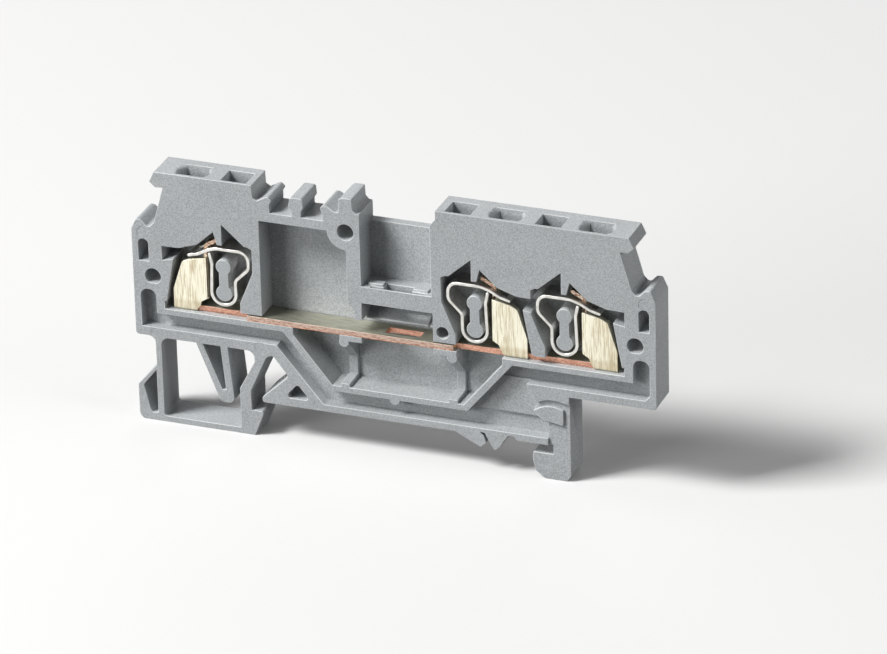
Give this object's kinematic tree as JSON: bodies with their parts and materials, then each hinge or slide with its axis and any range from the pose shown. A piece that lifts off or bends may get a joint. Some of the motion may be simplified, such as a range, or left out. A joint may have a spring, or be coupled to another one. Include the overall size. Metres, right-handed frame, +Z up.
{
  "type": "spring clamp terminal block",
  "caption": "Narrow rail-mounted terminal block with an open side, spring clamps on one level and a current bar between them.",
  "frame": {"origin": "on the rail's seat plane, midway across the 35 mm rail and midway through the block's width", "axes": "+Z up away from the rail, Y along the rail with the open side at -Y, X along the block with the single clamp at -X"},
  "size_m": [0.0605, 0.0042, 0.0303],
  "materials": {
    "housing": "fine moulded texture",
    "bar": "tinned copper, brushed, with bare copper on the cut edges",
    "spring": "bright rolled strip"
  },
  "bodies": {
    "root": {"housing": "housing", "current_bar": "bar", "clamp_spring_left": "spring", "clamp_spring_middle": "spring", "clamp_spring_right": "spring"}
  },
  "joints": []
}
